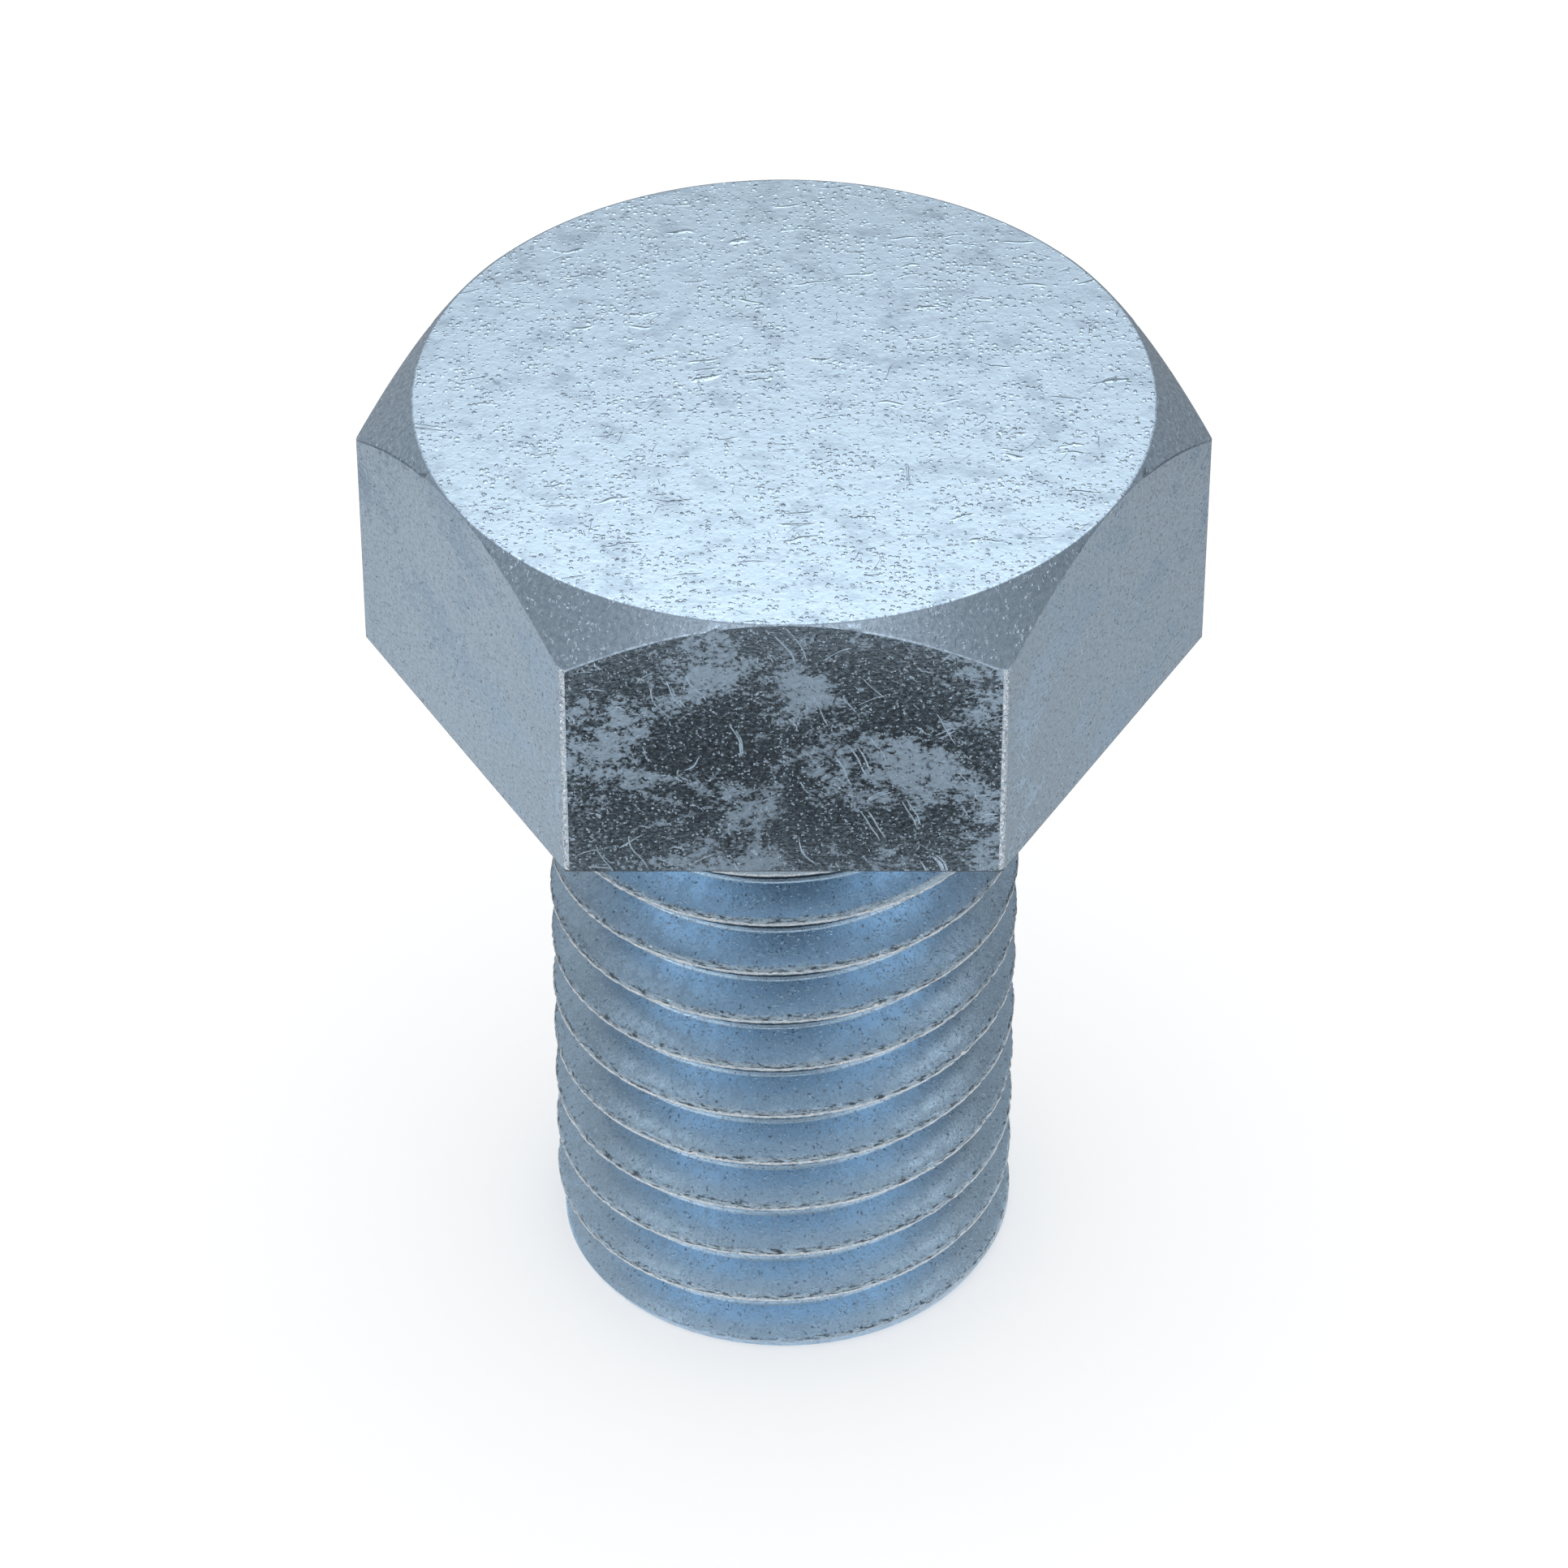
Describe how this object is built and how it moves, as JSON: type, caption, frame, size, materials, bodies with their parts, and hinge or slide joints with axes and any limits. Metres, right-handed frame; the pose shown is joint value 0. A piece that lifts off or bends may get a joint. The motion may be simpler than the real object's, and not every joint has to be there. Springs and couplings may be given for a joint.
{
  "type": "hex head cap screw",
  "caption": "Hexagon head cap screw with a chamfered head and a coarse right-hand thread almost up to the head, zinc-coated steel.",
  "frame": {"origin": "centre of the bearing face under the head", "axes": "+Z along the screw's axis, from the point up through the head; one flat of the hexagon faces -Y, and two corners lie on the X axis"},
  "size_m": [0.0329, 0.0286, 0.0419],
  "materials": {
    "zinc_coated_steel": "zinc-coated, bluish, finely pitted and scuffed, with bare bright edges"
  },
  "bodies": {
    "root": {"hex_head_cap_screw": "zinc_coated_steel"}
  },
  "joints": []
}
